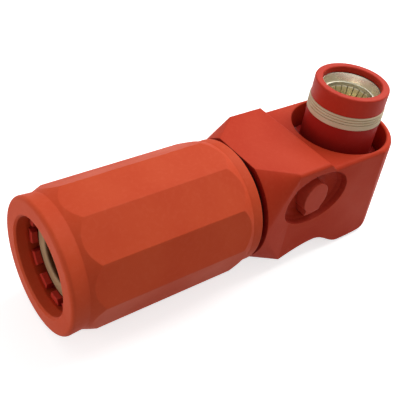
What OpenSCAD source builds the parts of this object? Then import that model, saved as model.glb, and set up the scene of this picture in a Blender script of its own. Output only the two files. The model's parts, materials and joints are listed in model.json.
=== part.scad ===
// Right-angle single pole power connector with a clamping back nut.
// The cable leaves along -X, the mating nose stands up along +Z.
// The origin lies on the nose axis, level with the rim of the collar.

/* [Contact] */
// Diameter of the pin that the contact grips
pin_d = 10.3; // [9:0.1:11]
// How far the contact strips bow inwards from their end rings
strip_bow = 1.45; // [1.1:0.05:1.8]
// Thickness of the contact strips
strip_t = 0.4; // [0.3:0.05:0.6]
// Number of contact strips
strip_n = 24; // [18:1:28]
// Slit between two contact strips
strip_gap = 0.2; // [0.15:0.01:0.6]
// Height of each end ring of the contact grid
ring_h = 1.1; // [0.8:0.1:2]
// Height of the contact grid from end to end
grid_h = 11.2; // [10:0.1:12]
// Wall of the contact cup
cup_wall = 1.15; // [0.9:0.05:1.5]
// Thickness of the contact cup's base
cup_base = 3.6; // [3:0.1:4.5]
// How far the cup's rim lies below the nose tip
cup_drop = 1.9; // [1.4:0.1:3]

/* [Nose] */
// Height of the nose tip above the collar rim
nose_stand = 14; // [13:0.1:18]
// Wall of the nose tube
nose_wall = 1.7; // [1.5:0.05:2.2]
// Wall left inside the seal groove of the nose tube
groove_wall = 0.9; // [0.7:0.05:1.1]
// Height of the nose seal
seal_band = 3.7; // [3:0.1:5]
// Height of the plain band under the seal's ribs
seal_foot = 1.35; // [0.8:0.05:1.8]
// Number of ribs on the nose seal
rib_n = 3; // [2:1:4]
// How far the seal's ribs stand out past the nose
rib_stand = 0.2; // [0.18:0.01:0.22]
// Height of the touch guard
guard_h = 5.2; // [4.6:0.1:6]
// Width of the rounding on the guard's edges
guard_round = 0.45; // [0.2:0.05:0.6]
// Thickness of the nose tube's flange
flange_t = 1.6; // [1.4:0.1:2.4]

/* [Collar] */
// Gap between the nose and the collar
ring_gap = 3.25; // [3:0.05:4]
// Wall of the collar at its rim
collar_wall = 1.65; // [1.5:0.05:2]
// Depth of the collar below its rim
collar_depth = 9.2; // [8.6:0.1:9.3]
// How far the side faces are cut into the round end
side_bite = 0.45; // [0.3:0.05:0.6]
// How much the round end widens from its rim to its foot
end_draft = 0.5; // [0.2:0.05:1.2]
// Radius of the rounding round the collar's outer rim
rim_round = 1.2; // [0.6:0.1:1.2]

/* [Head] */
// How far the rear pad stands above the collar rim
pad_step = 2.1; // [0.5:0.1:3]
// Distance from the collar's opening to the top of the pad's slope
pad_back = 4.7; // [4:0.1:5.5]
// Length of the slope between pad and rim
pad_slope = 2.8; // [1:0.1:3.2]
// Thickness of the block under the cable bore
under_wall = 5.4; // [4.9:0.1:7]
// How far the round foot stands below the block
foot_step = 2.7; // [1:0.1:5]
// Radius of the rounding round the foot
foot_round = 1.5; // [0.4:0.1:3]
// Rise of the finger hollow in the underside
arch_rise = 2.3; // [0.5:0.1:2.4]
// Distance from the collar's opening to the top of that hollow
arch_back = 2.8; // [1:0.1:6]
// Length of the wave from the top of that hollow down to the foot
arch_wave = 12; // [8:0.5:13]
// Length of the block behind the collar's opening
block_len = 14.7; // [12.5:0.1:20]
// Length of the neck that blends the block into a round
neck_len = 8.9; // [7:0.1:12]
// Radius of the neck against the back nut
neck_r = 15.9; // [15:0.1:16]
// Radius of the block's long edges
edge_r = 1; // [0.3:0.1:1.5]

/* [Buttons and latch] */
// Distance from the collar's opening to the buttons' centre line
button_back = 6.6; // [6:0.05:8]
// Height of the buttons' centre above the cable axis
button_h = 4.3; // [3.5:0.1:4.6]
// Width of a button
button_w = 7.6; // [7:0.1:8.4]
// Straight length between a button's round ends
button_len = 1.1; // [0.6:0.1:2]
// Width of the sloped toe below a button's face
toe_w = 5; // [3:0.1:6]
// Length of the sloped toe below a button's face
button_toe = 2.2; // [1:0.1:2.4]
// Travel of a button
button_travel = 1.2; // [0.8:0.05:1.25]
// Width of the oval finger hollow round a button
dish_w = 22; // [18:0.5:23]
// Height of the oval finger hollow round a button
dish_tall = 15.4; // [13:0.1:16]
// Depth of the finger hollow at the button
dish_depth = 3.3; // [2.4:0.1:3.4]
// Depth of the finger hollow's steep wall
dish_rim = 2.4; // [1.5:0.1:2.8]
// Thickness of the latch plate
latch_t = 1.5; // [1.2:0.1:2]
// Length of the latch plate behind the buttons' centre line
latch_tail = 5.7; // [5.3:0.1:6.5]
// How far the latch tongue reaches into the collar
latch_bite = 1; // [0.8:0.05:1.8]
// Width of the latch tongue
tongue_w = 12; // [8:0.5:14]
// Length of the latch spring
spring_len = 5; // [4:0.1:6]
// Outer radius of the latch spring
spring_r = 1.4; // [1.2:0.05:1.5]
// Radius of the latch spring's wire
wire_r = 0.22; // [0.15:0.01:0.3]
// Number of turns of the latch spring
spring_turns = 5; // [4:1:6]

/* [Cable lug] */
// Outer diameter of the crimp barrel
barrel_d = 15.6; // [14.5:0.1:16]
// Wall of the crimp barrel
barrel_wall = 1.9; // [1.5:0.1:2.5]
// Length of the crimp barrel
barrel_len = 20; // [16:0.5:24]
// Width of the lug's palm
palm_w = 15.2; // [13:0.1:15.4]
// Thickness of the lug's palm
palm_t = 4; // [3.4:0.1:4.1]
// Diameter of the clamping screw
screw_d = 6; // [5:0.5:6]
// Height of the clamping screw's head
screw_head_h = 3.5; // [3:0.1:4]
// Diameter of the clamping screw's head
screw_head_d = 10; // [9.5:0.1:10]
// Thickness of the terminal nut
nut_t = 5.5; // [4.5:0.1:6.5]

/* [Cable seal and clamp] */
// Diameter of the cable hole in the seal
cable_d = 16.4; // [14:0.1:18]
// Wall of the cable seal
seal_wall = 2.7; // [2:0.1:3.2]
// Wall of the clamp cage
cage_wall = 1.5; // [1.2:0.1:2]
// Length of the closed ring that carries the clamp fingers
cage_band = 6.2; // [4:0.1:8]
// Number of fingers of the clamp cage, always even
finger_n = 12; // [10:2:16]
// Gap between two clamp fingers
finger_gap = 2.2; // [1.2:0.1:2.8]
// Turn of the gaps about the cable axis in degrees
finger_turn = 21; // [0:1:30]
// Length of the hooks at the finger tips
hook_len = 1.4; // [1:0.1:2]
// How far the finger tips hook inwards
finger_hook = 0.8; // [0.4:0.1:1.2]
// Thickness of the thrust washer
washer_t = 1; // [0.6:0.1:1.6]

/* [Back nut] */
// Length of the back nut
nut_len = 51.5; // [49:0.5:60]
// Number of flats on the back nut
flat_n = 10; // [8:1:12]
// Distance from the nut's axis to a flat
flat_r = 16.5; // [16.3:0.05:17]
// Turn of the flats about the nut's axis in degrees
flat_turn = -1.8; // [-18:0.1:18]
// Length of the round collar at the cable end
nut_collar = 4.4; // [3:0.1:5]
// How far that collar flares out to its edge
nut_flare = 0.2; // [0.05:0.05:0.5]
// Length of the round collar against the head
nut_heel = 2.9; // [1:0.1:4]
// Length of the blend from the flats to a round collar
flat_blend = 3.4; // [2:0.1:6]
// Wall of the back nut round its thread
nut_wall = 1.95; // [1.9:0.05:2.6]
// Radius of the cable opening in the back nut
entry_r = 11.75; // [11:0.05:12]
// Length of the lip round the cable opening
entry_lip = 3; // [2:0.1:4]
// Radius of the rounding round the nut's front edge
nut_round = 1; // [0.6:0.1:1.8]
// Depth of the screw thread
thread_h = 0.9; // [0.6:0.05:1.1]
// Length of the threaded spigot inside the nut
spigot_len = 29.2; // [24:0.1:30]
// Gap between the back nut and the head, filled by a rubber ring
nut_gap = 1.8; // [1.4:0.1:2.4]

/* [Hidden] */

eps = 0.01;
// Clearances: snug seats, running fits and free room
snug = 0.03;
run = 0.06;
slip = 0.1;
free = 0.25;

// Radii round the nose axis, from the pin outwards
pin_r = pin_d / 2;
grid_r = pin_r + strip_bow + strip_t;
cup_bore_r = grid_r + snug;
cup_r = cup_bore_r + cup_wall + 0.02;
nose_bore_r = cup_r + slip;
nose_r = nose_bore_r + nose_wall;
seal_seat_r = nose_bore_r + groove_wall;
recess_r = nose_r + ring_gap;
end_r = recess_r + collar_wall;
side_y = end_r - side_bite;
foot_r = end_r + end_draft;

// Radii round the cable axis, from the cable outwards
barrel_r = barrel_d / 2;
bore_r = barrel_r + 0.7;
cable_r = cable_d / 2;
seal_r = cable_r + seal_wall;
cage_bore_r = seal_r + slip;
cage_r = cage_bore_r + cage_wall;
spigot_r = cage_r + free;
nut_bore_r = cage_r + 0.2;
thread_r = spigot_r + thread_h + slip;
land_r = thread_r + 0.4;
land_bore_r = land_r + run;
nut_collar_r = land_bore_r + nut_wall;

// Ring under the nose tube's flange and its groove
flange_ring_r = nose_r + 1.5;
flange_wire = 0.6;
flange_groove = 0.9;

// Heights above the cable axis, from the bore upwards
bore_skin = 1;
latch_h = bore_r + bore_skin + slip;
latch_top = latch_h + latch_t;
rim_h = latch_top + slip + bore_skin;
pad_h = rim_h + pad_step;
under_h = bore_r + under_wall;
foot_h = under_h + foot_step;
floor_h = rim_h - collar_depth;
tip_h = rim_h + nose_stand;
cup_top = tip_h - cup_drop;
guard_base = tip_h - guard_h;
seal_base = guard_base - seal_band;
palm_top = palm_t / 2;

// The contact cup and what is stacked in it
stub_h = 1.4;
stub_r = cup_r - 1.5;
lip_r = stub_r + slip;
cup_floor = palm_top + cup_base;
screw_r = screw_d / 2;
screw_hole_r = screw_r + 0.2;
spring_washer_t = 1.3;
screw_head_base = cup_floor + spring_washer_t;
grid_base = screw_head_base + screw_head_h + 0.5;
grid_top = grid_base + grid_h;
grid_ledge = 0.45;
mouth_flare = 0.7;
hex_key = 4;
terminal_af = 10;
screw_tip = palm_top + nut_t + 1.1;

// Stations along the cable, measured back from the nose axis
pad_x = recess_r + pad_back;
slope_x = pad_x - pad_slope;
bore_end = recess_r + 1.65;
block_x = recess_r + block_len;
neck_x = block_x + neck_len;
nut_x = neck_x + nut_gap;
land_len = 3.4;
spigot_x = nut_x + spigot_len;
barrel_step = 2.3;
arch_x = recess_r + arch_back;

// The back nut's inside, measured from its rear face
counterbore = land_len + 0.4;
thread_end = spigot_len + 0.3;
seat_len = 2.8;
seat_start = nut_len - entry_lip - seat_len;

// The clamp cage and the seal in it, measured from the thrust washer
cage_len = nut_len - entry_lip - 0.6 - spigot_len - washer_t;
taper_start = seat_start - spigot_len - washer_t;
seal_len = cage_len - hook_len - 0.2;

// Buttons and latch
button_x = recess_r + button_back;
button_face = side_y;
dish_floor = side_y - dish_depth;
button_r = button_w / 2;
button_inner = dish_floor - 0.25;
pocket_y = button_inner - button_travel - slip;
tail_h = latch_h - 2.2;
tail_top = latch_h - 0.35;
tail_root = 0.55;
tail_w = 4;
wedge_y = button_inner - tail_w;
ear_w = 0.6;
ear_h = 0.9;
ear_y = button_inner - 1.1;
wedge_gap = 0.05;
latch_y = ear_y - 0.6;
latch_back = button_x + latch_tail;
latch_room = latch_back + button_travel + free;
spring_h = latch_h + 1.15;
spring_end = latch_back + spring_len;
tongue_r = recess_r - latch_bite;
tongue_x = bore_end + 0.2;

$fn = 96;

// Moves a piece from the cable axis to the frame with its origin at the rim
module from_axis() {
    translate([0, 0, -rim_h]) children();
}

// Lays a piece whose axis is +Z along the cable, starting x behind the nose axis
module along_cable(x) {
    translate([-x, 0, 0]) rotate([0, -90, 0]) children();
}

// Rectangle with round corners, centred
module soft_rect(w, h, r) {
    square([w - 2 * r, h], center = true);
    square([w, h - 2 * r], center = true);
    for (x = [-1, 1], y = [-1, 1])
        translate([x * (w / 2 - r), y * (h / 2 - r)]) circle(r, $fn = 32);
}

// Ring of rectangular section
module ring(r_in, r_out, h) {
    difference() {
        cylinder(r = r_out, h = h);
        translate([0, 0, -eps]) cylinder(r = r_in, h = h + 2 * eps);
    }
}

// Rubber ring squeezed flat between two faces h apart
module squeezed_ring(r_mid, r_section, h) {
    rotate_extrude()
        translate([r_mid, h / 2])
            intersection() {
                circle(r_section, $fn = 32);
                square([3 * r_section, h], center = true);
            }
}

// Points of an ellipse
function oval(a, b, n) = [for (i = [0:n - 1]) [a * cos(360 * i / n), b * sin(360 * i / n)]];

// Points of an arc about c, from angle a0 to a1
function arc(c, r, a0, a1, n) =
    [for (i = [0:n]) c + r * [cos(a0 + (a1 - a0) * i / n), sin(a0 + (a1 - a0) * i / n)]];

// Outline of a button: an upright face with round ends and a narrower toe below it
module button_outline(grow) {
    toe_r = toe_w / 2;
    toe_y = button_len / 2 + button_r + button_toe - toe_r;
    for (s = [-1, 1])
        translate([0, s * button_len / 2]) circle(button_r + grow, $fn = 64);
    square([2 * (button_r + grow), button_len], center = true);
    translate([0, -toe_y]) circle(toe_r + grow, $fn = 48);
    translate([-toe_r - grow, -toe_y]) square([2 * (toe_r + grow), toe_y]);
}

// Puts a shape drawn in the side face's plane at the -Y button, growing inwards from depth y
module at_button(y) {
    translate([-button_x, -y, button_h]) rotate([90, 0, 0]) mirror([0, 0, 1]) children();
}

// Thin oval at depth z of the finger hollow, drawn in from its rim by inset
module hollow_level(z, inset, thickness) {
    translate([0, 0, z])
        linear_extrude(thickness) polygon(oval(dish_w / 2 - inset, dish_tall / 2 - inset, 48));
}

// Oval finger hollow: a steep wall, a soft corner and a floor that slopes down to the button
module finger_hollow() {
    corner = dish_depth - dish_rim;
    hull() {
        hollow_level(-0.5, 0, 0.5);
        hollow_level(dish_rim - corner, 0.5, eps);
    }
    hull() {
        hollow_level(dish_rim - corner, 0.5, eps);
        hollow_level(dish_rim, 1.2, eps);
    }
    hull() {
        hollow_level(dish_rim, 1.2, eps);
        translate([0, 0, dish_depth])
            linear_extrude(eps)
                polygon(oval(button_r + 2.4, button_r + button_len / 2 + 1.2, 48));
    }
}

// Room for one button: its hollow, its well and the slot of its tail
module button_room() {
    at_button(side_y) finger_hollow();
    at_button(side_y) linear_extrude(side_y - pocket_y) button_outline(slip);
    translate([-button_x - tail_w / 2 - slip, -button_inner - slip, tail_h - slip])
        cube([tail_w + 2 * slip, button_inner - ear_y + 2 * slip, latch_h - tail_h + 2 * slip]);
    translate([-button_x - tail_w / 2 - button_travel, -ear_y, tail_h - slip])
        cube([
            tail_w + button_travel + ear_w + free,
            ear_y - wedge_y + button_travel + 2 * slip,
            latch_h - tail_h + 2 * slip]);
}

// Bar along the cable with rounded upper edges, from x0 back to x1 and between two heights
module bar(x0, x1, base, top) {
    translate([-x1, 0, 0])
        rotate([90, 0, 90])
            linear_extrude(x1 - x0)
                intersection() {
                    translate([0, (top + base - edge_r) / 2])
                        soft_rect(2 * side_y, top - base + edge_r, edge_r);
                    translate([-side_y - 1, base]) square([2 * side_y + 2, top - base + 1]);
                }
}

// Round end of the head, rounded at its rim and its foot
module round_end() {
    intersection() {
        rotate_extrude()
            polygon(concat(
                [[0, -foot_h]],
                arc([foot_r - foot_round, foot_round - foot_h], foot_round, -90, 0, 10),
                arc([end_r - rim_round, rim_h - rim_round], rim_round, 0, 90, 10),
                [[0, rim_h]]));
        bar(-foot_r - 1, foot_r + 1, -foot_h - 1, rim_h);
    }
}

// Block behind the collar: a raised pad, then the height of the rim
module block() {
    bar(slope_x, block_x, -foot_h, pad_h);
    bar(0, slope_x + eps, -foot_h, rim_h);
}

// Neck that runs from the block's rectangle to the round face against the nut
module neck() {
    intersection() {
        hull() {
            bar(block_x - eps, block_x, -under_h, pad_h);
            along_cable(neck_x - eps) cylinder(r = neck_r, h = eps);
        }
        translate([-neck_x - 1, -2 * side_y, -under_h])
            cube([neck_len + 2, 4 * side_y, under_h + pad_h]);
    }
}

// Cut under the head: a long shallow rise, then a wave down to the foot
module underside_cut() {
    n = 12;
    top = under_h - arch_rise;
    drop = foot_h - top + 0.03;
    rise = [
        for (i = [0:n])
            [(block_x - arch_x) * i / n - block_x, arch_rise * sin(90 * i / n) - under_h]];
    wave = [
        for (i = [1:n])
            [arch_wave * i / n - arch_x, -top - drop * (1 - cos(180 * i / n)) / 2]];
    rotate([90, 0, 0])
        translate([0, 0, -2 * side_y])
            linear_extrude(4 * side_y)
                polygon(concat(
                    [[-block_x - 1, -foot_h - 1], [-block_x - 1, -under_h - 0.1]],
                    rise, wave, [[arch_wave - arch_x, -foot_h - 1]]));
}

// Cut that lowers the top from the pad to the rim in one soft wave
module pad_cut() {
    n = 10;
    wave = [
        for (i = [0:n])
            [pad_slope * i / n - pad_x, rim_h + pad_step * (1 + cos(180 * i / n)) / 2]];
    rotate([90, 0, 0])
        translate([0, 0, -2 * side_y])
            linear_extrude(4 * side_y)
                polygon(concat(
                    wave, [[1 - slope_x, rim_h], [1 - slope_x, pad_h + 1], [-pad_x, pad_h + 1]]));
}

// Spigot that carries the back nut, with a land that centres the nut behind the ring's groove
module spigot() {
    along_cable(neck_x - eps) cylinder(r = spigot_r, h = spigot_x - neck_x + eps);
    along_cable(nut_x) cylinder(r = land_r, h = land_len);
}

// Seats for the lug, the contact cup and the terminal nut
module terminal_room() {
    along_cable(bore_end) cylinder(r = bore_r, h = spigot_x);
    translate([-bore_end - 1, -palm_w / 2 - free, -palm_top])
        cube([bore_end + 1, palm_w + 2 * free, palm_t + slip]);
    translate([0, 0, -palm_top]) cylinder(r = palm_w / 2 + free, h = palm_t + slip);
    translate([0, 0, palm_top + slip - eps])
        cylinder(r = nose_r + slip, h = floor_h - palm_top - slip + 2 * eps);
    translate([0, 0, -palm_top - nut_t - slip])
        cylinder(r = (terminal_af / 2 + slip) / cos(30), h = nut_t + slip + eps, $fn = 6);
    translate([0, 0, -screw_tip - 1]) cylinder(r = screw_hole_r + slip, h = 4);
}

// Room for the latch plate and its spring, open to the collar
module latch_room_cut() {
    translate([-latch_room, -latch_y - slip, latch_h - slip])
        cube([latch_room, 2 * (latch_y + slip), latch_t + 2 * slip]);
    translate([-spring_end - slip, 0, spring_h])
        rotate([0, 90, 0]) cylinder(r = spring_r + slip, h = spring_len + 2 * slip, $fn = 48);
}

module head_shell() {
    color("#c8442e")
        from_axis()
            difference() {
                union() {
                    difference() {
                        union() {
                            difference() {
                                union() {
                                    block();
                                    neck();
                                }
                                pad_cut();
                            }
                            round_end();
                        }
                        underside_cut();
                    }
                    spigot();
                }
                translate([0, 0, floor_h]) cylinder(r = recess_r, h = collar_depth + pad_step + 1);
                translate([0, 0, rim_h - 0.3])
                    cylinder(r1 = recess_r - eps, r2 = recess_r + 0.3, h = 0.3 + eps);
                terminal_room();
                latch_room_cut();
                button_room();
                mirror([0, 1, 0]) button_room();
            }
}

// Flanged insulating tube; its foot lip is clamped under the contact cup
module nose_tube() {
    color("#b83a28")
        from_axis()
            rotate_extrude()
                difference() {
                    union() {
                        translate([0, palm_top + 0.2])
                            square([nose_r, seal_base - palm_top - 0.2]);
                        translate([0, floor_h]) square([recess_r - 0.35, flange_t]);
                        square([seal_seat_r, guard_base + 2.2]);
                    }
                    translate([-1, 0]) square([lip_r + 1, tip_h]);
                    translate([-1, palm_top + stub_h]) square([nose_bore_r + 1, tip_h]);
                    translate([-1, -1]) square([nose_r + 2, palm_top + 1.2]);
                    translate([flange_ring_r - flange_wire - slip, floor_h - eps])
                        square([2 * (flange_wire + slip), flange_groove + eps]);
                }
}

// Ring that closes the nose and keeps fingers off the contact
module touch_guard() {
    spigot_top = guard_base + 2.2;
    lip_in = cup_r - 0.3;
    outer = nose_r - 0.02;
    color("#c8442e")
        from_axis()
            rotate_extrude()
                difference() {
                    polygon(concat(
                        [[lip_in, guard_base], [outer, guard_base]],
                        arc([outer - guard_round, tip_h - guard_round], guard_round, 0, 90, 8),
                        arc([lip_in + guard_round, tip_h - guard_round], guard_round, 90, 180, 8)));
                    translate([0, guard_base - eps])
                        square([seal_seat_r + snug, spigot_top - guard_base + eps]);
                    square([cup_r + 0.15, cup_top + 0.2]);
                }
}

// Ribbed rubber seal between the nose tube's shoulder and the touch guard
module nose_seal() {
    pitch = (seal_band - seal_foot) / rib_n;
    rib_r = 0.4 * pitch;
    color("#c8b496")
        from_axis()
            rotate_extrude()
                intersection() {
                    union() {
                        translate([seal_seat_r, seal_base])
                            square([nose_r - 0.2 - seal_seat_r, seal_band]);
                        translate([seal_seat_r, seal_base])
                            square([nose_r + rib_stand - seal_seat_r, seal_foot]);
                        for (i = [0:rib_n - 1])
                            translate([
                                nose_r + rib_stand - rib_r,
                                seal_base + seal_foot + pitch * (i + 0.5)])
                                circle(rib_r, $fn = 32);
                    }
                    translate([seal_seat_r + snug, seal_base])
                        square([nose_r, seal_band]);
                }
}

// Turned contact cup: a clamped base, a screw well and the seat of the grid
module socket_body() {
    color("#d8d2c0")
        from_axis()
            difference() {
                rotate_extrude()
                    difference() {
                        union() {
                            translate([0, palm_top]) square([stub_r, stub_h + eps]);
                            translate([0, palm_top + stub_h])
                                square([cup_r, cup_top - palm_top - stub_h]);
                        }
                        translate([-1, cup_floor])
                            square([cup_bore_r - grid_ledge + 1, tip_h]);
                        translate([-1, grid_base]) square([cup_bore_r + 1, tip_h]);
                        polygon([
                            [cup_bore_r - eps, cup_top + eps],
                            [cup_bore_r - eps, grid_top + slip],
                            [cup_bore_r + mouth_flare, cup_top + eps]]);
                    }
                translate([0, 0, palm_top - 1]) cylinder(r = screw_hole_r, h = cup_base + 2);
            }
}

// Contact grid: bowed strips between two end rings
module contact_grid() {
    span = grid_h - 2 * ring_h;
    bow_r = (span * span / 4 + strip_bow * strip_bow) / (2 * strip_bow);
    half_a = asin(span / 2 / bow_r);
    strip_a = 360 / strip_n - strip_gap / grid_r * 180 / PI;
    color("#b9a070")
        from_axis()
            translate([0, 0, grid_base]) {
                for (z = [0, grid_h - ring_h])
                    translate([0, 0, z]) ring(grid_r - strip_t, grid_r, ring_h);
                for (i = [0:strip_n - 1])
                    rotate([0, 0, i * 360 / strip_n])
                        rotate_extrude(angle = strip_a)
                            intersection() {
                                translate([grid_r + bow_r - strip_bow - strip_t, grid_h / 2])
                                    polygon(concat(
                                        arc([0, 0], bow_r, 178 - half_a, 182 + half_a, 12),
                                        arc([0, 0], bow_r - strip_t, 182 + half_a,
                                            178 - half_a, 12)));
                                square([grid_r - 0.05, grid_h]);
                            }
            }
}

// Low head screw with a hexagon socket
module contact_screw() {
    color("#8f9296")
        from_axis()
            difference() {
                union() {
                    translate([0, 0, -screw_tip]) cylinder(r = screw_r, h = screw_tip + screw_head_base);
                    translate([0, 0, screw_head_base])
                        cylinder(d = screw_head_d, h = screw_head_h - 0.4);
                    translate([0, 0, screw_head_base + screw_head_h - 0.4 - eps])
                        cylinder(d1 = screw_head_d, d2 = screw_head_d - 0.8, h = 0.4 + eps);
                }
                translate([0, 0, screw_head_base + screw_head_h - 2.2])
                    cylinder(r = hex_key / 2 / cos(30), h = 3, $fn = 6);
            }
}

// Split washer under the screw head
module spring_washer() {
    color("#9a9da0")
        from_axis()
            translate([0, 0, cup_floor])
                difference() {
                    ring(screw_r + 0.15, screw_head_d / 2 - 0.1, spring_washer_t);
                    rotate([0, 0, 20])
                        translate([0, -0.3, -1]) cube([screw_head_d, 0.6, spring_washer_t + 2]);
                }
}

// Crimp lug: a barrel that is pressed down to a narrow palm
module cable_lug() {
    palm_end = palm_w / 2;
    color("#b7b9bb")
        from_axis()
            difference() {
                union() {
                    along_cable(bore_end + barrel_step)
                        cylinder(r = barrel_r, h = barrel_len);
                    intersection() {
                        along_cable(bore_end + slip)
                            cylinder(r = barrel_r, h = barrel_step + 0.5);
                        rotate([90, 0, 0])
                            translate([0, 0, -barrel_r])
                                linear_extrude(2 * barrel_r)
                                    polygon([
                                        [-bore_end - slip, palm_top], [-bore_end - slip, -palm_top],
                                        [-bore_end - barrel_step, -barrel_r],
                                        [-bore_end - barrel_step - 0.5, -barrel_r],
                                        [-bore_end - barrel_step - 0.5, barrel_r],
                                        [-bore_end - barrel_step, barrel_r]]);
                    }
                    translate([-bore_end - 1, -palm_w / 2, -palm_top])
                        cube([bore_end + 1, palm_w, palm_t]);
                    translate([0, 0, -palm_top]) cylinder(r = palm_end, h = palm_t);
                }
                along_cable(bore_end + barrel_step + 3)
                    cylinder(r = barrel_r - barrel_wall, h = barrel_len);
                translate([-bore_end - barrel_step - 5, 0, 0]) cylinder(r = 1.2, h = barrel_d);
                translate([0, 0, -palm_t]) cylinder(r = screw_hole_r, h = 2 * palm_t);
            }
}

// Hexagonal brass nut held under the palm
module terminal_nut() {
    color("#b8923f")
        from_axis()
            translate([0, 0, -palm_top - nut_t])
                difference() {
                    cylinder(r = terminal_af / 2 / cos(30), h = nut_t, $fn = 6);
                    translate([0, 0, -1]) cylinder(r = screw_r + snug, h = nut_t + 2);
                }
}

// Ring that seals the nose tube's flange to the collar floor
module nose_o_ring() {
    color("#2a2a2c")
        from_axis()
            translate([0, 0, floor_h]) squeezed_ring(flange_ring_r, flange_wire, flange_groove);
}

// Y of the slope on a latch lug at x, on the -Y side, at 45 degrees to the travel
function wedge_line(x) = x + button_x - (button_inner + wedge_y) / 2 + wedge_gap * sqrt(2);

// Latch plate: a tongue in the collar and two wedge lugs for the buttons
module lock_slide() {
    lug_x = button_x + 0.7;
    lug_base = tail_h + 0.2;
    color("#dcdad2")
        from_axis()
            difference() {
                union() {
                    translate([-latch_back, -latch_y, latch_h])
                        cube([latch_back - tongue_x, 2 * latch_y, latch_t]);
                    translate([-tongue_x - 1, -tongue_w / 2, latch_h])
                        cube([tongue_x + 1, tongue_w, latch_t]);
                    for (s = [0, 1])
                        mirror([0, s, 0])
                            translate([0, 0, lug_base])
                                linear_extrude(latch_h - lug_base + eps)
                                    polygon([
                                        [-lug_x, wedge_line(-lug_x)],
                                        [tail_w / 2 - button_x, wedge_line(tail_w / 2 - button_x)],
                                        [-lug_x, wedge_line(tail_w / 2 - button_x)]]);
                }
                translate([0, 0, latch_h - 1]) cylinder(r = tongue_r, h = latch_t + 2);
            }
}

// Compression spring wound as a helix of round wire
module slide_spring() {
    sides = 8;
    steps = 20;
    rise = spring_len - 2 * wire_r;
    mid_r = spring_r - wire_r;
    n = spring_turns * steps;
    points = [
        for (i = [0:n], k = [0:sides - 1])
            let (
                a = 360 * i / steps,
                b = 360 * k / sides,
                r = mid_r + wire_r * cos(b),
                z = wire_r + rise * i / n + wire_r * sin(b))
            [r * cos(a), r * sin(a), z]];
    walls = [
        for (i = [0:n - 1], k = [0:sides - 1])
            let (a = i * sides + k, b = i * sides + (k + 1) % sides)
            [a, a + sides, b + sides, b]];
    color("#a8abae")
        from_axis()
            translate([0, 0, spring_h])
                along_cable(latch_back)
                    polyhedron(
                        points,
                        concat(
                            walls,
                            [[for (k = [0:sides - 1]) k]],
                            [[for (k = [sides - 1:-1:0]) n * sides + k]]),
                        convexity = 10);
}

// Plan of a button's tail: a slope at 45 degrees and a small ear that keeps the button in
module tail_plan(root) {
    polygon([
        [-button_x - tail_w / 2, -button_inner - root],
        [-button_x - tail_w / 2, -button_inner],
        [tail_w / 2 - button_x, -wedge_y],
        [tail_w / 2 - button_x, slip + ear_h - ear_y],
        [tail_w / 2 + ear_w - button_x, slip + ear_h - ear_y],
        [tail_w / 2 + ear_w - button_x, slip - ear_y],
        [tail_w / 2 - button_x, slip - ear_y],
        [tail_w / 2 - button_x, -button_inner - root]]);
}

// Button on the -Y side: a flush face, a sloped toe and a tail with a wedge
module button() {
    toe_z = -button_r - button_len / 2;
    from_axis()
        union() {
            intersection() {
                at_button(side_y) linear_extrude(side_y - button_inner) button_outline(0);
                translate([-button_x - button_w, 0, button_h])
                    rotate([90, 0, 90])
                        linear_extrude(2 * button_w)
                            polygon([
                                [-side_y, button_w + button_len], [-side_y, toe_z],
                                [button_toe * 0.75 - side_y, toe_z - button_toe - 1],
                                [-button_inner, toe_z - button_toe - 1],
                                [-button_inner, button_w + button_len]]);
            }
            translate([0, 0, tail_h]) {
                linear_extrude(tail_top - tail_h) tail_plan(0);
                linear_extrude(tail_root) tail_plan(0.5);
            }
        }
}

module right_button() {
    color("#c04a36") button();
}

module left_button() {
    color("#c04a36") mirror([0, 1, 0]) button();
}

// Thrust washer between the spigot's end and the cable seal
module seal_washer() {
    color("#d9d4c6")
        from_axis()
            along_cable(spigot_x) ring(cable_r + 0.6, cage_r - slip, washer_t);
}

// Rubber sleeve that is squeezed on to the cable
module cable_seal() {
    chamfer = 0.8;
    color("#b8a07c")
        from_axis()
            along_cable(spigot_x + washer_t)
                rotate_extrude()
                    polygon([
                        [cable_r, 0], [seal_r, 0], [seal_r, seal_len - chamfer],
                        [seal_r - chamfer, seal_len], [cable_r, seal_len]]);
}

// Clamp cage: a ring with spring fingers whose tips hook over the seal
module clamp_cage() {
    tip_r = cage_r - (cage_len - taper_start) * (nut_bore_r - entry_r) / seat_len;
    color("#b5412e")
        from_axis()
            along_cable(spigot_x + washer_t)
                difference() {
                    rotate_extrude()
                        polygon([
                            [cage_bore_r, 0], [cage_r, 0], [cage_r, taper_start],
                            [tip_r, cage_len], [seal_r - finger_hook, cage_len],
                            [seal_r - finger_hook, cage_len - hook_len],
                            [cage_bore_r, cage_len - hook_len]]);
                    for (i = [0:finger_n / 2 - 1])
                        rotate([0, 0, finger_turn + i * 360 / finger_n])
                            translate([-2 * cage_r, -finger_gap / 2, cage_band])
                                cube([4 * cage_r, finger_gap, cage_len]);
                }
}

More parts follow.
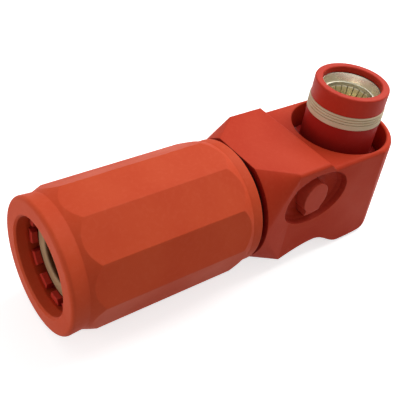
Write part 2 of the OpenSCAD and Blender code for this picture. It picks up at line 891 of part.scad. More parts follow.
// Back nut: a many-sided prism between two round collars, bored in steps
module back_nut() {
    corner_r = flat_r / cos(180 / flat_n);
    waist_r = nut_collar_r - 0.03;
    flare_r = nut_collar_r + nut_flare;
    front = nut_len - nut_collar;
    color("#d65c40")
        from_axis()
            along_cable(nut_x)
                difference() {
                    union() {
                        intersection() {
                            translate([0, 0, nut_heel])
                                rotate([0, 0, 180 / flat_n + flat_turn])
                                    linear_extrude(front - nut_heel) regular(corner_r, flat_n);
                            rotate_extrude()
                                polygon([
                                    [0, 0], [waist_r, 0], [waist_r, nut_heel],
                                    [corner_r + 0.05, nut_heel + flat_blend],
                                    [corner_r + 0.05, front - flat_blend],
                                    [waist_r, front], [0, front]]);
                        }
                        rotate_extrude()
                            polygon(concat(
                                [[0, 0], [nut_collar_r - 0.3, 0], [nut_collar_r, 0.3],
                                 [nut_collar_r, nut_heel - 0.4], [waist_r, nut_heel],
                                 [waist_r, front]],
                                arc([flare_r - nut_round, nut_len - nut_round],
                                    nut_round, 0, 90, 10),
                                [[0, nut_len]]));
                    }
                    rotate_extrude()
                        polygon([
                            [0, -1], [land_bore_r, -1], [land_bore_r, counterbore],
                            [thread_r, counterbore], [thread_r, thread_end],
                            [nut_bore_r, thread_end], [nut_bore_r, seat_start],
                            [entry_r, seat_start + seat_len], [entry_r, nut_len - 0.5],
                            [entry_r + 0.5, nut_len + eps], [0, nut_len + 1]]);
                }
}

// Regular polygon with its first corner on +X
module regular(r, n) {
    polygon([for (i = [0:n - 1]) r * [cos(360 * i / n), sin(360 * i / n)]]);
}

// Rubber ring in the gap between the head and the back nut
module nut_o_ring() {
    section_r = nut_gap / 2;
    color("#2a2a2c")
        from_axis()
            along_cable(neck_x + slip / 2)
                squeezed_ring(spigot_r + snug + section_r, section_r, nut_gap - slip);
}

head_shell();
nose_tube();
touch_guard();
nose_seal();
socket_body();
contact_grid();
contact_screw();
spring_washer();
cable_lug();
terminal_nut();
nose_o_ring();
lock_slide();
slide_spring();
left_button();
right_button();
seal_washer();
cable_seal();
clamp_cage();
back_nut();
nut_o_ring();
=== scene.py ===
"""Dresses the right-angle single pole power connector and sets up its studio."""
import json
import logging
import math
from dataclasses import dataclass
from enum import Enum

import bmesh
import bpy
import numpy as np
from mathutils import Matrix, Quaternion, Vector


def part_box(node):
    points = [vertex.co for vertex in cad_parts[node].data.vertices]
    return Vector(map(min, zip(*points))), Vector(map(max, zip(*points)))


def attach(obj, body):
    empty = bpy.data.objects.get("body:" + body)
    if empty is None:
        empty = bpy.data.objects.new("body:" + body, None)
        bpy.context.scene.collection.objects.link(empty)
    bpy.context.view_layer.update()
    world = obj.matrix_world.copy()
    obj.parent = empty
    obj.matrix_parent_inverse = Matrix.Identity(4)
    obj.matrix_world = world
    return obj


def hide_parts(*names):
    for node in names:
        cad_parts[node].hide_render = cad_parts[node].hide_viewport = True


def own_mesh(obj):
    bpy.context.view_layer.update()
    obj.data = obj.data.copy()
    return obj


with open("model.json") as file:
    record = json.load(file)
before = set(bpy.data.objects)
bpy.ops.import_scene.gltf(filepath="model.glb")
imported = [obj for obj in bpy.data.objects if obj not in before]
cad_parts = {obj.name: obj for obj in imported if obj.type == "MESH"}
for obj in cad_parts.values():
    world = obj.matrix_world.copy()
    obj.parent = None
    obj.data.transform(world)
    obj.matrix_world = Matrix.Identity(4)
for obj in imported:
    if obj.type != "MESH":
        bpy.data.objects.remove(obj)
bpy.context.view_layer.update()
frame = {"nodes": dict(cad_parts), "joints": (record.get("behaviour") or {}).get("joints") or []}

log = logging.getLogger("connector")

Colour = tuple[float, float, float, float]
Triple = tuple[float, float, float]

MM = 0.001
CABLE_AXIS_Z = -12.2
WHITE: Colour = (1.0, 1.0, 1.0, 1.0)


def linear(red: float, green: float, blue: float) -> Colour:
    """Turns a screen colour of 0 to 255 a channel into Blender's linear RGBA.

    The curve is that of sRGB: a straight line near black and a power of 2.4 above it.

    Args:
        red: Red on screen.
        green: Green on screen.
        blue: Blue on screen.

    Returns:
        The linear colour with full alpha.
    """
    shares = [value / 255 for value in (red, green, blue)]
    curve = [s / 12.92 if s <= 0.04045 else ((s + 0.055) / 1.055) ** 2.4 for s in shares]
    return (curve[0], curve[1], curve[2], 1.0)


class Sock:
    """One output of a material's nodes, on which arithmetic adds Math nodes."""

    def __init__(self, graph: "Graph", output: bpy.types.NodeSocket) -> None:
        """Keeps the graph and the output that this value stands for."""
        self.graph = graph
        self.output = output

    def _join(self, operation: str, first: object, second: object) -> "Sock":
        """Adds one Math node on two values or sockets."""
        return self.graph.node(
            "ShaderNodeMath", {"operation": operation}, {0: first, 1: second})

    def __add__(self, other: object) -> "Sock":
        """Sum of the two."""
        return self._join("ADD", self, other)

    def __radd__(self, other: object) -> "Sock":
        """Sum of the two."""
        return self._join("ADD", other, self)

    def __sub__(self, other: object) -> "Sock":
        """This value less the other."""
        return self._join("SUBTRACT", self, other)

    def __rsub__(self, other: object) -> "Sock":
        """The other value less this one."""
        return self._join("SUBTRACT", other, self)

    def __mul__(self, other: object) -> "Sock":
        """Product of the two."""
        return self._join("MULTIPLY", self, other)

    def __rmul__(self, other: object) -> "Sock":
        """Product of the two."""
        return self._join("MULTIPLY", other, self)

    def clamp(self, low: float, high: float) -> "Sock":
        """This value held between two limits."""
        return self._join("MINIMUM", self._join("MAXIMUM", self, low), high)


class Graph:
    """The node graph of one material or of the world, built in code."""

    BEVEL_SAMPLES = 6
    HOLLOW_SAMPLES = 16
    EDGE_TURN = (0.02, 0.3)
    OPEN_SHARE = (0.5, 1.0)

    def __init__(self, name: str, world: bool = False) -> None:
        """Makes an empty material or world with an output node.

        Args:
            name: Its name.
            world: Whether it is a world.
        """
        self.owner = bpy.data.worlds.new(name) if world else bpy.data.materials.new(name)
        self.owner.use_nodes = True
        self.tree = self.owner.node_tree
        self.tree.nodes.clear()
        kind = "ShaderNodeOutputWorld" if world else "ShaderNodeOutputMaterial"
        self.out = self.tree.nodes.new(kind)

    def node(self, kind: str, settings: dict | None = None, sockets: dict | None = None,
             take: int | str = 0) -> Sock:
        """Adds a node, its settings first and then what its sockets hold.

        Args:
            kind: Blender's node type.
            settings: Attributes of the node.
            sockets: Input name or index to a number, a colour or another node's output.
            take: Which output is handed back.

        Returns:
            The chosen output, ready for arithmetic.
        """
        made = self.tree.nodes.new(kind)
        for name, value in (settings or {}).items():
            setattr(made, name, value)
        for name, value in (sockets or {}).items():
            self.feed(made.inputs[name], value)
        return Sock(self, made.outputs[take])

    def feed(self, socket: bpy.types.NodeSocket, value: object) -> None:
        """Gives an input what it holds.

        Args:
            socket: The input.
            value: An output, which is linked, or a number or colour, which is set.
        """
        if isinstance(value, Sock):
            self.tree.links.new(value.output, socket)
        else:
            socket.default_value = value

    def place(self) -> Sock:
        """Object coordinates."""
        return self.node("ShaderNodeTexCoord", take="Object")

    def height(self, where: Sock) -> Sock:
        """The third part of a vector."""
        return self.node("ShaderNodeSeparateXYZ", None, {0: where}, 2)

    def noise(self, scale: float, detail: float = 2.0, stretch: Triple = (1, 1, 1)) -> Sock:
        """Smooth random value from 0 to 1 over the piece.

        Args:
            scale: Features to the metre.
            detail: Octaves.
            stretch: Factor on each axis of the coordinates.

        Returns:
            The noise's value.
        """
        where = self.node(
            "ShaderNodeMapping", {"vector_type": "POINT"},
            {"Vector": self.place(), "Scale": stretch})
        return self.node(
            "ShaderNodeTexNoise", None,
            {"Vector": where, "Scale": scale, "Detail": detail}, "Fac")

    def step(self, value: Sock, start: float, end: float) -> Sock:
        """Ramps a value smoothly from 0 to 1.

        Args:
            value: What is ramped.
            start: Where the ramp leaves 0.
            end: Where it reaches 1.

        Returns:
            The ramp.
        """
        return self.node(
            "ShaderNodeMapRange", {"interpolation_type": "SMOOTHSTEP"},
            {"Value": value, "From Min": start, "From Max": end})

    def blend(self, factor: Sock, first: object, second: object) -> Sock:
        """Mixes two colours.

        Args:
            factor: Share of the second colour.
            first: Colour where the factor is 0.
            second: Colour where it is 1.

        Returns:
            The mixed colour.
        """
        return self.node(
            "ShaderNodeMix", {"data_type": "RGBA"}, {0: factor, 6: first, 7: second}, 2)

    def soft_normal(self, radius: float) -> Sock:
        """Normal with every hard edge rounded over a radius."""
        return self.node(
            "ShaderNodeBevel", {"samples": self.BEVEL_SAMPLES}, {"Radius": radius})

    def edge_mask(self, radius: float) -> Sock:
        """Finds hard edges: 1 less the dot product of the soft normal and the true one, ramped.

        Args:
            radius: How far an edge reaches.

        Returns:
            1 along hard edges and 0 on open faces.
        """
        true = self.node("ShaderNodeNewGeometry", take="Normal")
        dot = self.node(
            "ShaderNodeVectorMath", {"operation": "DOT_PRODUCT"},
            {0: self.soft_normal(radius), 1: true}, "Value")
        return self.step(1 - dot, *self.EDGE_TURN)

    def painted_shade_mask(self, reach: float) -> Sock:
        """Finds recesses, for painted shade: 1 less the ramped share of directions that the piece
        leaves open.

        Args:
            reach: How far away the piece's own walls still count.

        Returns:
            1 deep in the piece's own recesses, where shade is painted, and 0 on its open faces.
        """
        open_share = self.node(
            "ShaderNodeAmbientOcclusion", {"samples": self.HOLLOW_SAMPLES, "only_local": True},
            {"Distance": reach}, "AO")
        return 1 - self.step(open_share, *self.OPEN_SHARE)

    def bump(self, height: Sock, depth: float, normal: Sock) -> Sock:
        """Tilts a normal by a height pattern.

        Args:
            height: The pattern.
            depth: Depth of the pattern in metres where its height changes by 1.
            normal: The normal that is tilted.

        Returns:
            The tilted normal.
        """
        return self.node("ShaderNodeBump", None, {
            "Height": height, "Distance": depth, "Strength": 1.0, "Normal": normal})

    def seen_by(self, *kinds: str) -> Sock:
        """1 for a ray of one of the named kinds and 0 for any other."""
        rays = [self.node("ShaderNodeLightPath", take=f"Is {kind} Ray") for kind in kinds]
        return sum(rays[1:], rays[0]).clamp(0, 1)

    def close(self, surface: Sock) -> bpy.types.ID:
        """Links the surface to the output and hands back the material or world."""
        self.tree.links.new(surface.output, self.out.inputs["Surface"])
        return self.owner

    def finish(self, **sockets: object) -> bpy.types.Material:
        """Closes the graph with a principled shader.

        Args:
            sockets: Socket names with underscores for spaces, and what they hold.

        Returns:
            The finished material.
        """
        named = {name.replace("_", " "): value for name, value in sockets.items()}
        return self.close(self.node("ShaderNodeBsdfPrincipled", None, named))


@dataclass(frozen=True)
class Pattern:
    """Noise over a piece, with the values where it sets in and where it is full."""

    scale: float
    detail: float
    start: float
    full: float

    def on(self, graph: Graph) -> Sock:
        """The pattern in a material's graph, from 0 to 1."""
        return graph.step(graph.noise(self.scale, self.detail), self.start, self.full)


@dataclass(frozen=True)
class MouldedPlastic:
    """Semi-matte moulded plastic: fine grain, cloudy colour, painted shade deep in its recesses,
    and pale edges.
    """

    name: str
    colour: Colour
    deep: Colour
    worn: Colour
    # painted shade: the colour that the piece's recesses are darkened to
    painted_shade: Colour
    rough: float = 0.54
    shine: float = 0.14
    ior: float = 1.49
    edge: float = 0.00035
    reach: float = 0.012
    clouds: Pattern = Pattern(55, 4, 0.3, 0.7)
    flecks: Pattern = Pattern(900, 2, 0.45, 0.75)
    deep_share: float = 0.75
    painted_shade_share: float = 0.95
    fleck_share: float = 0.1
    edge_share: float = 0.35
    cloud_rough: float = 0.1
    grain_rough: float = 0.05
    edge_polish: float = 0.06
    rough_range: tuple[float, float] = (0.2, 0.9)
    grain_scale: float = 4200.0
    grain_detail: float = 3.0
    grain_depth: float = 0.000012
    ripple_scale: float = 140.0
    ripple_height: float = 3.0

    def material(self) -> bpy.types.Material:
        """Builds the material.

        The colour turns to its deeper tone in clouds, darkens to a painted shade deep in the
        piece's own recesses, and turns a little to its worn tone in flecks and along edges.
        Clouds and grain make it rougher and edges smoother. The bump is the grain plus a wide
        ripple.

        Returns:
            The material.
        """
        graph = Graph(self.name)
        cloud = self.clouds.on(graph)
        edge = graph.edge_mask(self.edge)
        colour_and_shade = graph.blend(cloud * self.deep_share, self.colour, self.deep)
        # painted shade: the colour darkens towards the painted shade tone in the piece's own
        # recesses
        colour_and_shade = graph.blend(graph.painted_shade_mask(self.reach) * self.painted_shade_share, colour_and_shade, self.painted_shade)
        colour_and_shade = graph.blend(self.flecks.on(graph) * self.fleck_share, colour_and_shade, self.worn)
        colour_and_shade = graph.blend(edge * self.edge_share, colour_and_shade, self.worn)
        grain = graph.noise(self.grain_scale, self.grain_detail)
        ripple = graph.noise(self.ripple_scale)
        rough = (self.rough + self.cloud_rough * cloud + self.grain_rough * grain
                 - self.edge_polish * edge)
        return graph.finish(
            Base_Color=colour_and_shade,
            Roughness=rough.clamp(*self.rough_range),
            IOR=self.ior,
            Specular_IOR_Level=self.shine,
            Normal=graph.bump(grain + self.ripple_height * ripple, self.grain_depth,
                              graph.soft_normal(self.edge)))


@dataclass(frozen=True)
class Silicone:
    """Matte silicone rubber with dusty high spots."""

    name: str
    colour: Colour
    dust: Colour
    rough: float = 0.62
    shine: float = 0.4
    ior: float = 1.43
    edge: float = 0.0002
    smears: Pattern = Pattern(160, 3, 0.35, 0.75)
    dust_share: float = 0.5
    smear_rough: float = 0.12
    rough_range: tuple[float, float] = (0.3, 0.95)
    pore_scale: float = 3000.0
    pore_depth: float = 0.00001
    glow_weight: float = 0.12
    glow_reach: Triple = (0.002, 0.0015, 0.001)
    glow_scale: float = 0.4

    def material(self) -> bpy.types.Material:
        """Builds the material.

        Smears of dust make it paler and rougher, fine pores are its bump, and a little light
        passes under its skin.

        Returns:
            The material.
        """
        graph = Graph(self.name)
        smear = self.smears.on(graph)
        return graph.finish(
            Base_Color=graph.blend(smear * self.dust_share, self.colour, self.dust),
            Roughness=(self.rough + self.smear_rough * smear).clamp(*self.rough_range),
            IOR=self.ior,
            Specular_IOR_Level=self.shine,
            Subsurface_Weight=self.glow_weight,
            Subsurface_Radius=self.glow_reach,
            Subsurface_Scale=self.glow_scale,
            Normal=graph.bump(graph.noise(self.pore_scale), self.pore_depth,
                              graph.soft_normal(self.edge)))


@dataclass(frozen=True)
class TurnedMetal:
    """Plated metal with fine tool rings along one axis and light handling marks."""

    name: str
    colour: Colour
    stain: Colour
    rough: float = 0.24
    edge: float = 0.00015
    stains: Pattern = Pattern(260, 4, 0.4, 0.72)
    stain_share: float = 0.55
    stain_rough: float = 0.16
    ring_axis: int = 2
    ring_scale: float = 6000.0
    across_scale: float = 60.0
    ring_depth: float = 0.000004
    ring_rough: float = 0.1
    rough_range: tuple[float, float] = (0.08, 0.8)
    band_colour: Colour | None = None
    band_z: float = 0.0
    band_blur: float = 0.0002

    def material(self) -> bpy.types.Material:
        """Builds the material.

        Stains tint the plating and make it rougher. The rings are noise that changes a hundred
        times faster along the ring axis than across it, in the bump and the roughness. With a
        band colour, what stands above the band's height is of that colour.

        Returns:
            The material.
        """
        graph = Graph(self.name)
        stretch = [self.across_scale] * 3
        stretch[self.ring_axis] = self.ring_scale
        rings = graph.noise(1.0, stretch=tuple(stretch))
        stain = self.stains.on(graph)
        plating = graph.blend(stain * self.stain_share, self.colour, self.stain)
        if self.band_colour:
            band = graph.step(graph.height(graph.place()), self.band_z - self.band_blur,
                              self.band_z + self.band_blur)
            plating = graph.blend(band, plating, self.band_colour)
        rough = self.rough + self.stain_rough * stain + self.ring_rough * rings
        return graph.finish(
            Base_Color=plating,
            Metallic=1.0,
            Roughness=rough.clamp(*self.rough_range),
            Normal=graph.bump(rings, self.ring_depth, graph.soft_normal(self.edge)))


class Finish(Enum):
    """Every finish on the connector."""

    # the fourth colour of each plastic is the painted shade that its recesses darken to
    HEAD = MouldedPlastic("red_head", linear(199, 61, 30), linear(191, 52, 26),
                          linear(216, 90, 60), linear(132, 14, 12))
    NUT = MouldedPlastic("red_nut", linear(213, 81, 44), linear(205, 71, 38),
                         linear(228, 108, 76), linear(158, 30, 18))
    NOSE = MouldedPlastic("red_nose", linear(180, 38, 30), linear(168, 32, 26),
                          linear(206, 66, 50), linear(130, 14, 14), rough=0.44)
    GUARD = MouldedPlastic("red_guard", linear(197, 54, 34), linear(187, 47, 30),
                           linear(220, 88, 54), linear(140, 20, 16), rough=0.44)
    BUTTON = MouldedPlastic("red_button", linear(206, 76, 54), linear(198, 68, 48),
                            linear(220, 100, 78), linear(150, 30, 22))
    CAGE = MouldedPlastic("red_cage", linear(190, 52, 38), linear(180, 44, 34),
                          linear(212, 84, 64), linear(140, 20, 18))
    LATCH = MouldedPlastic("red_latch", linear(120, 32, 22), linear(104, 26, 18),
                           linear(150, 52, 38), linear(84, 16, 12), rough=0.34)
    IVORY = MouldedPlastic("ivory_washer", linear(222, 218, 204), linear(212, 206, 190),
                           linear(234, 232, 222), linear(190, 182, 160), rough=0.32)
    CREAM = Silicone("cream_seal", linear(226, 204, 168), linear(236, 222, 194))
    BEIGE = Silicone("beige_seal", linear(172, 138, 102), linear(188, 156, 120))
    BLACK = Silicone("black_ring", linear(46, 17, 12), linear(58, 25, 19),
                     rough=0.75, shine=0.1)
    SILVER = TurnedMetal("silver_cup", linear(240, 236, 214), linear(204, 198, 168),
                         rough=0.22)
    STRIP = TurnedMetal("silver_strip", linear(196, 184, 134), linear(180, 168, 120),
                        rough=0.42, band_colour=linear(240, 238, 226), band_z=0.0087)
    STEEL = TurnedMetal("zinc_screw", linear(176, 178, 182), linear(150, 152, 156), rough=0.3)
    TIN = TurnedMetal("tin_lug", linear(200, 201, 202), linear(176, 176, 178),
                      rough=0.36, ring_axis=0)
    BRASS = TurnedMetal("brass_nut", linear(206, 168, 88), linear(176, 138, 66), rough=0.28)

    def material(self) -> bpy.types.Material:
        """The finish's material, made once."""
        made = bpy.data.materials.get(self.value.name)
        return made or self.value.material()


def dress(finishes: dict[str, Finish]) -> None:
    """Gives CAD nodes their finishes.

    Args:
        finishes: Each node's name and what it is made of.
    """
    for node, finish in finishes.items():
        piece = frame["nodes"][node]
        if not piece.data.materials:
            piece.data.materials.append(finish.material())
        for place in piece.material_slots:
            place.material = finish.material()
        log.info("%s dressed in %s", node, finish.value.name)


def new_piece(name: str, points: np.ndarray, faces: np.ndarray, finish: Finish, body: str,
              smooth: bool = True) -> bpy.types.Object:
    """Puts a mesh in the scene, dresses it and lets it ride on a body.

    Args:
        name: The piece's name.
        points: Rows of x, y, z in millimetres.
        faces: Rows of corner numbers, all of one length.
        finish: What it is made of.
        body: The CAD body that carries it.
        smooth: Whether its faces are shaded smooth.

    Returns:
        The new object.
    """
    mesh = bpy.data.meshes.new(name)
    mesh.from_pydata((points * MM).tolist(), [], faces.tolist())
    mesh.validate()
    mesh.polygons.foreach_set("use_smooth", np.full(len(mesh.polygons), smooth))
    mesh.materials.append(finish.material())
    piece = bpy.data.objects.new(name, mesh)
    bpy.context.scene.collection.objects.link(piece)
    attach(piece, body)
    log.info("%s: %d faces on %s", name, len(mesh.polygons), body)
    return piece


def wind(x: np.ndarray, radius: np.ndarray, angle: np.ndarray,
         centre: tuple[float, float] = (0.0, CABLE_AXIS_Z)) -> np.ndarray:
    """Places points round an axis that runs along x.

    y is the centre's plus the radius times the cosine of the angle, and z is the centre's plus
    the radius times its sine. The three grids are spread to one shape first.

    Args:
        x: Place of each point along the axis.
        radius: Its distance from the axis.
        angle: Its angle round the axis, in radians.
        centre: y and z of the axis.

    Returns:
        Rows of x, y, z, ring by ring.
    """
    y = centre[0] + radius * np.cos(angle)
    z = centre[1] + radius * np.sin(angle)
    return np.stack(np.broadcast_arrays(x, y, z), -1).reshape(-1, 3)


def tube_faces(rings: int, sides: int) -> np.ndarray:
    """Joins neighbouring rings of a tube with quads, all the way round.

    Ring i and corner k make point i * sides + k; each quad joins corners k and k + 1 of rings
    i and i + 1.

    Args:
        rings: Number of rings.
        sides: Corners of a ring.

    Returns:
        Rows of four corner numbers.
    """
    ring, corner = np.meshgrid(np.arange(rings - 1), np.arange(sides), indexing="ij")
    after = (corner + 1) % sides
    first = ring * sides
    return np.stack(
        [first + corner, first + after, first + sides + after, first + sides + corner],
        -1).reshape(-1, 4)


def close_up(piece: bpy.types.Object, sides: int = 4) -> None:
    """Closes the open ends of a piece and turns its faces outwards.

    Args:
        piece: A piece made of tubes.
        sides: The most sides that an end to be closed has.
    """
    work = bmesh.new()
    work.from_mesh(piece.data)
    bmesh.ops.holes_fill(work, edges=work.edges[:], sides=sides)
    bmesh.ops.recalc_face_normals(work, faces=work.faces[:])
    work.to_mesh(piece.data)
    work.free()


@dataclass
class Thread:
    """A trapezoid screw ridge wound round the cable axis."""

    name: str
    body: str
    slot: str
    finish: Finish
    root_r: float
    crest_r: float
    start_x: float
    end_x: float
    phase: float = 0.0
    pitch: float = 2.0
    root_w: float = 1.15
    crest_w: float = 0.5
    sink: float = 0.12
    steps: int = 60
    fade_turns: float = 0.3
    least_rise: float = 0.02

    def build(self) -> bpy.types.Object:
        """Makes the ridge.

        At turn t the ridge's middle lies at x = start_x - pitch * t and at the angle 360 * t from
        the phase. Its section is a trapezoid whose foot is sunk below the root radius. Over the
        first and last fade_turns its height is the full one times 3 s^2 - 2 s^3. There s is the
        share of them that is passed or left, and least_rise at the least. Where the crest points
        inwards, the quads' corners run the other way round.

        Returns:
            The ridge.
        """
        turns = (self.start_x - self.end_x) / self.pitch
        t = np.linspace(0, turns, int(turns * self.steps) + 1)[:, None]
        rise = np.clip(np.minimum(t, turns - t) / self.fade_turns, self.least_rise, 1)
        rise = rise * rise * (3 - 2 * rise)
        way = np.sign(self.crest_r - self.root_r)
        foot = np.full_like(rise, self.root_r - way * self.sink)
        crest = self.root_r + (self.crest_r - self.root_r) * rise
        radius = np.concatenate([foot, crest, crest, foot], 1)
        half = 0.5 * np.array([[-self.root_w, -self.crest_w, self.crest_w, self.root_w]])
        x = self.start_x - self.pitch * t + half
        angle = 2 * math.pi * t + math.radians(self.phase)
        faces = tube_faces(*x.shape)
        if way < 0:
            faces = faces[:, ::-1]
        piece = new_piece(
            self.name, wind(x, radius, angle), faces, self.finish, self.body,
            smooth=False)
        close_up(piece)
        return piece


@dataclass
class SealLip:
    """The thin lip round the cable hole, at the mouth of the cable seal.

    It stands proud of the end face. Its edge is rounded, its wall leads back to the heel, and a
    cone runs from there to the wall of the hole, where the section sinks into the seal.
    """

    end_x: float = -84.95
    centre_r: float = 6.9
    hole_r: float = 8.2
    outer_r: float = 9.7
    proud: float = 0.1
    edge: float = 0.35
    lead: float = 0.08
    heel: float = 0.5
    depth: float = 1.5
    bite: float = 0.05
    sink: float = 0.3
    sides: int = 96

    def build(self) -> bpy.types.Object:
        """Turns the lip's section round the cable axis.

        The section is a closed ring of pairs: a radius, and how far out of the seal's end face
        it lies. Each pair is carried round the axis by equal steps of angle. The last ring of
        points joins the first, so its corner numbers start again from 0.

        Returns:
            The lip.
        """
        section = np.array([
            (self.outer_r, -self.bite),
            (self.outer_r - self.proud, self.proud),
            (self.centre_r + self.edge, self.proud),
            (self.centre_r + self.proud, 0),
            (self.centre_r, self.proud - self.edge),
            (self.centre_r + self.lead, -self.heel),
            (self.hole_r + self.bite, -self.depth),
            (self.hole_r + self.sink, -self.depth),
        ])
        radius, out = section.T[:, :, None]
        angle = np.linspace(0, 2 * math.pi, self.sides, endpoint=False)[None, :]
        faces = tube_faces(len(section) + 1, self.sides) % (len(section) * self.sides)
        piece = new_piece(
            "seal_lip", wind(self.end_x - out, radius, angle), faces, Finish.BEIGE, "head")
        close_up(piece)
        return piece


@dataclass
class Coil:
    """The wire spring behind the latch plate. The real one shortens as the plate comes back; this
    one is wound at one length.
    """

    joint: str = "latch_slide"
    wire_r: float = 0.22
    turns: int = 5
    closed: float = 0.9
    slack: float = 0.03
    sides: int = 12
    steps: int = 36

    def build(self) -> bpy.types.Object:
        """Winds a round wire in the space that the CAD spring holds.

        The wire's middle goes round the spring's own axis at an even rate. Over the closed part
        of a turn at each end it moves one wire width a turn along the axis, and evenly through
        what is left between them. Each cross-section is a circle in the plane of that axis.

        Returns:
            The spring.
        """
        low, high = (np.array(corner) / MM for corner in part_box("slide_spring"))
        middle = (low + high) / 2
        joint = next(joint for joint in frame["joints"] if joint["name"] == self.joint)
        travel = max(joint["range_m"]) / MM
        inset = self.wire_r + self.slack
        free = high[0] - low[0] - 2 * inset
        end = 2 * self.wire_r * self.closed
        turn = np.linspace(0, self.turns, self.turns * self.steps + 1)[:, None]
        place = np.interp(
            turn, (0, self.closed, self.turns - self.closed, self.turns),
            (0, end, free - end, free))
        around = np.linspace(0, 2 * math.pi, self.sides, endpoint=False)[None, :]
        outer_r = (high[2] - low[2]) / 2 - self.slack
        radius = outer_r - self.wire_r * (1 - np.cos(around))
        x = high[0] - inset - place + self.wire_r * np.sin(around)
        points = wind(x, radius, 2 * math.pi * turn, (middle[1], middle[2]))
        piece = new_piece(
            "latch_spring", points, tube_faces(len(turn), self.sides), Finish.STEEL, "head")
        close_up(piece, self.sides)
        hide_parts("slide_spring")
        1 - travel / (high[0] - low[0])
        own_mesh(piece)
        return piece


@dataclass
class Head:
    """The moulded head with what is fixed inside it."""

    thread_root: float = 12.75
    thread_crest: float = 13.6
    thread_start: float = -43.6
    thread_end: float = -66.9

    def build(self) -> None:
        """Dresses the head's nodes, winds its screw thread and turns the seal's lip."""
        dress({
            "head_shell": Finish.HEAD, "nut_o_ring": Finish.BLACK, "nose_o_ring": Finish.BLACK,
            "cable_lug": Finish.TIN, "terminal_nut": Finish.BRASS,
            "contact_screw": Finish.STEEL, "spring_washer": Finish.STEEL,
            "seal_washer": Finish.IVORY, "cable_seal": Finish.BEIGE,
        })
        Thread("spigot_thread", "head", "head_red", Finish.HEAD, self.thread_root,
               self.thread_crest, self.thread_start, self.thread_end).build()
        SealLip().build()


class Nose:
    """The mating nose: tube, seal, guard and contact."""

    def build(self) -> None:
        """Dresses the nose's nodes."""
        dress({
            "nose_tube": Finish.NOSE, "touch_guard": Finish.GUARD, "nose_seal": Finish.CREAM,
            "socket_body": Finish.SILVER, "contact_grid": Finish.STRIP,
        })


class Latch:
    """The two buttons, the latch plate and its spring."""

    def build(self) -> None:
        """Dresses the latch's nodes and winds the spring."""
        dress({
            "left_button": Finish.BUTTON, "right_button": Finish.BUTTON,
            "lock_slide": Finish.LATCH,
        })
        Coil().build()


@dataclass
class BackNut:
    """The back nut and the clamp cage inside it."""

    thread_root: float = 13.75
    thread_crest: float = 12.9
    thread_start: float = -43.6
    thread_end: float = -67.2
    thread_phase: float = 180.0

    def build(self) -> None:
        """Dresses both nodes and winds the nut's inner thread, half a turn from the head's."""
        dress({"back_nut": Finish.NUT, "clamp_cage": Finish.CAGE})
        Thread("nut_thread", "nut", "nut_red", Finish.NUT, self.thread_root,
               self.thread_crest, self.thread_start, self.thread_end,
               self.thread_phase).build()


@dataclass(frozen=True)
class Lamp:
    """A square soft lamp, with its place and width in millimetres and its power in watts."""

    name: str
    at: Triple
    width: float
    power: float
    tint: Triple = (1.0, 0.99, 0.97)

    def hang(self, look_at: Triple) -> None:
        """Hangs the lamp so that it faces a point.

        Args:
            look_at: The point, in millimetres.
        """
        light = bpy.data.lights.new(self.name, "AREA")
        light.size = self.width * MM
        light.energy = self.power
        light.color = self.tint
        lamp = bpy.data.objects.new(self.name, light)
        lamp.location = Vector(self.at) * MM
        towards = (Vector(look_at) - Vector(self.at)).normalized()
        lamp.rotation_euler = towards.to_track_quat("-Z", "Y").to_euler()
        bpy.context.scene.collection.objects.link(lamp)


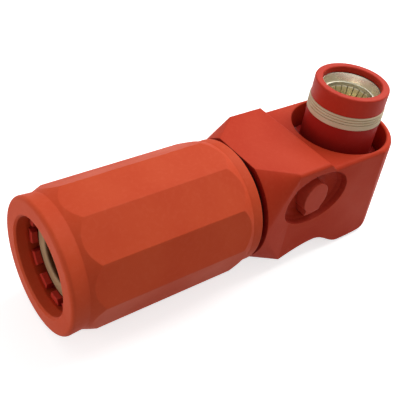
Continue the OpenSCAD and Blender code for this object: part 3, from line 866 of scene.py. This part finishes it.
@dataclass
class Studio:
    """Pale floor, white surroundings, soft lamps and the camera."""

    SEEN_WHITE = ("Camera", "Glossy", "Transmission")

    lamps: tuple[Lamp, ...] = (
        Lamp("key_lamp", (150, 45, 275), 260, 1.0),
        Lamp("fill_lamp", (-250, 45, 8), 70, 0.09),
    )
    look_at: Triple = (-45.0, 0.0, -8.0)
    floor_z: float = -29.8
    floor_half: float = 900.0
    floor_points: int = 3
    paper: Colour = (0.8, 0.8, 0.8, 1.0)
    fibre: Colour = (0.77, 0.77, 0.77, 1.0)
    dim_paper: Colour = (0.38, 0.38, 0.38, 1.0)
    fibres: Pattern = Pattern(40, 3, 0.2, 0.8)
    fibre_share: float = 0.3
    floor_glow: float = 0.7
    world_light: float = 0.39
    band_grey: float = 0.4
    band_foot: tuple[float, float] = (0.05, 0.4)
    band_top: tuple[float, float] = (0.68, 0.9)
    camera_at: Triple = (-136.366, -99.277, 99.4)
    camera_turn: Triple = (2.208, -0.639, 0.482)
    focal_px: float = 692.5
    frame_px: float = 400.0
    sensor: float = 36.0
    clip: tuple[float, float] = (0.01, 20.0)

    def build(self) -> None:
        """Sets up everything that is not the object."""
        self._floor()
        self._world()
        for lamp in self.lamps:
            lamp.hang(self.look_at)
        self._camera()
        bpy.context.scene.view_settings.view_transform = "Standard"

    def _floor(self) -> None:
        """Lays a square floor.

        It is a flat grid of even steps both ways. Point (i, j) has the number i * floor_points
        + j, and each quad joins it to the next point both ways.
        """
        count = self.floor_points
        steps = np.linspace(-self.floor_half, self.floor_half, count)
        x, y = np.meshgrid(steps, steps, indexing="ij")
        points = np.stack([x, y, np.full_like(x, self.floor_z)], -1).reshape(-1, 3)
        i, j = np.meshgrid(np.arange(count - 1), np.arange(count - 1), indexing="ij")
        first = (i * count + j).ravel()
        quads = np.stack([first, first + count, first + count + 1, first + 1], -1)
        mesh = bpy.data.meshes.new("floor")
        mesh.from_pydata((points * MM).tolist(), [], quads.tolist())
        floor = bpy.data.objects.new("floor", mesh)
        bpy.context.scene.collection.objects.link(floor)
        mesh.materials.append(self._floor_material())

    def _floor_material(self) -> bpy.types.Material:
        """Makes a paper that looks white where no shadow falls.

        The camera, a gloss and glass see lit paper plus a glow. Any other ray meets a dimmer
        paper, which sends less light back to the object.

        Returns:
            The material.
        """
        graph = Graph("pale_floor")
        colour = graph.blend(self.fibres.on(graph) * self.fibre_share, self.paper, self.fibre)
        paper = graph.node("ShaderNodeBsdfDiffuse", None, {"Color": colour})
        glow = graph.node(
            "ShaderNodeEmission", None, {"Color": WHITE, "Strength": self.floor_glow})
        bright = graph.node("ShaderNodeAddShader", None, {0: paper, 1: glow})
        dim = graph.node("ShaderNodeBsdfDiffuse", None, {"Color": self.dim_paper})
        seen = graph.seen_by(*self.SEEN_WHITE)
        return graph.close(
            graph.node("ShaderNodeMixShader", None, {0: seen, 1: dim, 2: bright}))

    def _world(self) -> None:
        """Surrounds the object with even pale light.

        The camera sees white. A gloss sees white low down and overhead, and a greyer band
        between, which is one ramp of the height less a second, higher one.
        """
        graph = Graph("studio", world=True)
        height = graph.height(graph.node("ShaderNodeTexCoord", take="Generated"))
        band = graph.step(height, *self.band_foot) - graph.step(height, *self.band_top)
        shown = 1 - self.band_grey * band * graph.seen_by("Glossy")
        soft, white = (
            graph.node("ShaderNodeBackground", None, {"Color": WHITE, "Strength": strength})
            for strength in (self.world_light, shown))
        seen = graph.seen_by(*self.SEEN_WHITE)
        bpy.context.scene.world = graph.close(
            graph.node("ShaderNodeMixShader", None, {0: seen, 1: soft, 2: white}))

    def _camera(self) -> None:
        """Sets the camera that was fitted to the photograph.

        The rows of the turn's matrix point to the right, down and ahead. A camera's own axes
        point to the right, up and behind, so the last two change sign. The lens is the focal
        length in frame widths times the sensor's width.
        """
        turn = Vector(self.camera_turn)
        rows = Quaternion(turn.normalized(), turn.length).to_matrix()
        basis = Matrix((rows[0], -rows[1], -rows[2])).transposed()
        data = bpy.data.cameras.new("camera")
        data.sensor_width = self.sensor
        data.lens = self.focal_px / self.frame_px * self.sensor
        data.clip_start, data.clip_end = self.clip
        camera = bpy.data.objects.new("camera", data)
        camera.matrix_world = (
            Matrix.Translation(Vector(self.camera_at) * MM) @ basis.to_4x4())
        bpy.context.scene.collection.objects.link(camera)
        bpy.context.scene.camera = camera


def main() -> None:
    """Builds the studio and then each sub-assembly."""
    logging.basicConfig(level=logging.INFO, format="%(name)s %(message)s")
    Studio().build()
    for part in (Head(), Nose(), Latch(), BackNut()):
        part.build()
        log.info("%s done", type(part).__name__)


if __name__ == "__main__":
    main()
